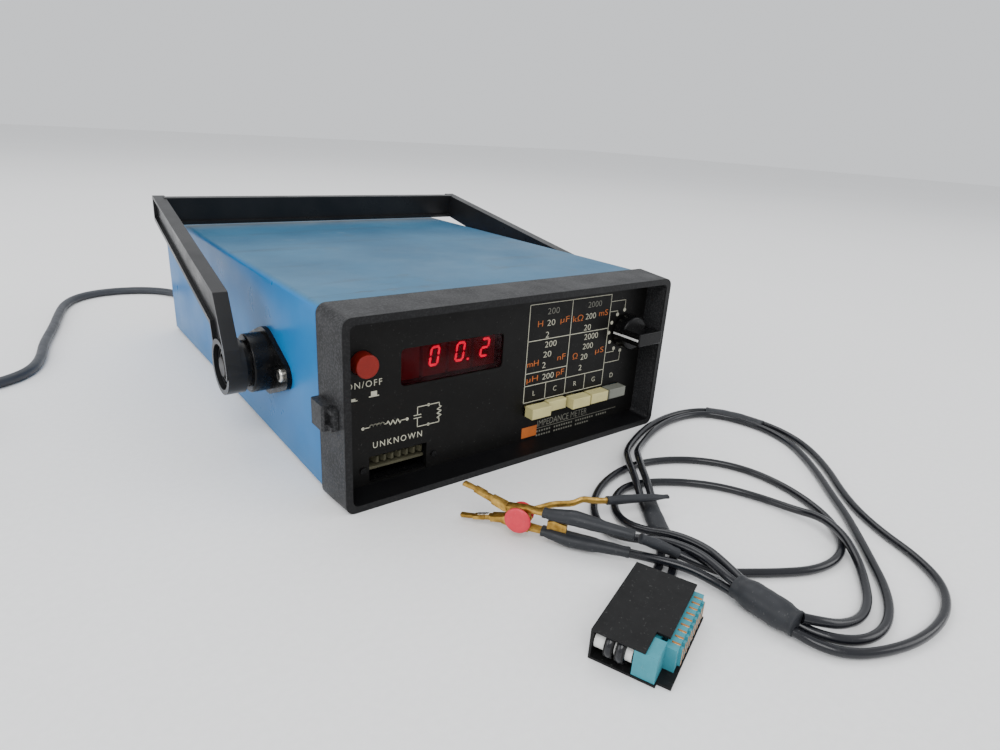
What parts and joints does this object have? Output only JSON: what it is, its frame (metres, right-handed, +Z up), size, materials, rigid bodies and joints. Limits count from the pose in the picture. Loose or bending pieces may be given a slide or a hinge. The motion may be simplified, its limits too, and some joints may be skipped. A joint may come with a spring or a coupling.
{
  "type": "lcr meter",
  "caption": "Bench impedance meter in a blue steel case with a red digital display, range knob, function keys, swinging carry handle, mains lead and clip leads.",
  "frame": {"origin": "on the bench under the middle of the meter's own box, cords left out", "axes": "+X to the meter's right as its user sees it, +Y from the front panel to the back, +Z up"},
  "size_m": [0.5221, 0.6832, 0.1181],
  "materials": {
    "blue_paint": "satin blue paint, scuffed",
    "bezel_plastic": "charcoal textured plastic",
    "black_plastic": "black moulded plastic",
    "panel_black": "satin black",
    "window_red": "dark red filter",
    "led_module": "digit module",
    "cream_plastic": "cream plastic",
    "grey_plastic": "grey plastic",
    "red_plastic": "red plastic",
    "board_green": "circuit board",
    "chip_black": "moulded chip",
    "aluminium": "mill finish",
    "steel": "nickel plated",
    "core_steel": "varnished laminations",
    "coil_tape": "yellow tape",
    "rubber": "rubber",
    "cord_vinyl": "dark grey vinyl",
    "lead_vinyl": "glossy black vinyl",
    "shrink_sleeve": "heat-shrink sleeve",
    "plug_cover": "folded black cover",
    "teal_plastic": "teal connector body",
    "brass": "aged brass",
    "cap_red": "red plastic cap"
  },
  "bodies": {
    "meter": {"front_bezel": "bezel_plastic", "side_catches": "black_plastic", "top_cover": "blue_paint", "bottom_cover": "blue_paint", "bench_feet": "rubber", "rear_panel": "aluminium", "rear_bumpers": "black_plastic", "case_screws": "steel", "chassis_rails": "aluminium", "front_panel": "panel_black", "panel_screws": "steel", "display_window": "window_red", "display_digits": "led_module", "display_board": "board_green", "key_bank": "aluminium", "standoffs": "aluminium", "power_switch": "black_plastic", "range_switch": "chip_black", "range_nut": "steel", "test_socket": "black_plastic", "socket_comb": "cream_plastic", "main_board": "board_green", "board_chips": "chip_black", "supply_board": "board_green", "filter_capacitors": "aluminium", "regulator_heatsink": "aluminium", "transformer_core": "core_steel", "transformer_coil": "coil_tape", "fuse_holder": "black_plastic", "selector_body": "black_plastic", "hub_brackets": "black_plastic", "bracket_screws": "steel", "pivot_screws": "steel", "cord_gland": "black_plastic", "power_cord": "cord_vinyl", "cord_coil": "cord_vinyl", "cord_plug": "black_plastic"},
    "handle": {"handle_bar": "black_plastic"},
    "knob": {"range_knob": "black_plastic", "knob_shaft": "steel"},
    "power_key": {"power_button": "red_plastic"},
    "key_l_body": {"key_l": "cream_plastic"},
    "key_c_body": {"key_c": "cream_plastic"},
    "key_r_body": {"key_r": "cream_plastic"},
    "key_g_body": {"key_g": "cream_plastic"},
    "key_d_body": {"key_d": "grey_plastic"},
    "fuse_cap_body": {"fuse_cap": "black_plastic"},
    "selector_body_slide": {"selector_slide": "red_plastic"},
    "test_leads": {"lead_plug_cover": "plug_cover", "lead_plug_block": "teal_plastic", "clip_lower_arm": "brass", "clip_third_arm": "brass", "clip_cap": "cap_red", "lead_sleeves": "shrink_sleeve", "lead_outer": "lead_vinyl", "lead_inner": "lead_vinyl", "lead_loop": "lead_vinyl", "lead_second": "lead_vinyl", "lead_clip": "lead_vinyl"},
    "clip_jaw": {"clip_upper_arm": "brass"}
  },
  "joints": [
    {"name": "handle_swing", "type": "hinge", "parent": "meter", "child": "handle", "pos_m": [0, -0.07068, 0.0475], "axis": [1, 0, 0], "range_deg": [0, 152]},
    {"name": "range_turn", "type": "hinge", "parent": "meter", "child": "knob", "pos_m": [0.0865, -0.15632, 0.063], "axis": [0, -1, 0], "range_deg": [-84, 84]},
    {"name": "power_push", "type": "slide", "parent": "meter", "child": "power_key", "axis": [0, 1, 0], "range_m": [-0.004, 0]},
    {"name": "key_l_push", "type": "slide", "parent": "meter", "child": "key_l_body", "axis": [0, 1, 0], "range_m": [0, 0.0045], "stiffness_N_per_m": 120, "springref_m": -0.002},
    {"name": "key_r_push", "type": "slide", "parent": "meter", "child": "key_r_body", "axis": [0, 1, 0], "range_m": [0, 0.0045], "stiffness_N_per_m": 120, "springref_m": -0.002},
    {"name": "key_g_push", "type": "slide", "parent": "meter", "child": "key_g_body", "axis": [0, 1, 0], "range_m": [0, 0.0045], "stiffness_N_per_m": 120, "springref_m": -0.002},
    {"name": "key_d_push", "type": "slide", "parent": "meter", "child": "key_d_body", "axis": [0, 1, 0], "range_m": [0, 0.0045], "stiffness_N_per_m": 120, "springref_m": -0.002},
    {"name": "key_c_push", "type": "slide", "parent": "meter", "child": "key_c_body", "axis": [0, 1, 0], "range_m": [-0.0045, 0]},
    {"name": "fuse_cap_turn", "type": "hinge", "parent": "meter", "child": "fuse_cap_body", "pos_m": [0.074, 0.16432, 0.03], "axis": [0, 1, 0], "range_deg": [-60, 0]},
    {"name": "selector_slide_move", "type": "slide", "parent": "meter", "child": "selector_body_slide", "axis": [1, 0, 0], "range_m": [0, 0.0072]},
    {"name": "leads_lift", "type": "slide", "parent": "meter", "child": "test_leads", "axis": [0, 0, 1], "range_m": [0, 0.03]},
    {"name": "clip_close", "type": "hinge", "parent": "test_leads", "child": "clip_jaw", "pos_m": [-0.0473, -0.2258, 0.0103], "axis": [-0.8351, -0.5501, 0], "range_deg": [0, 14]}
  ]
}
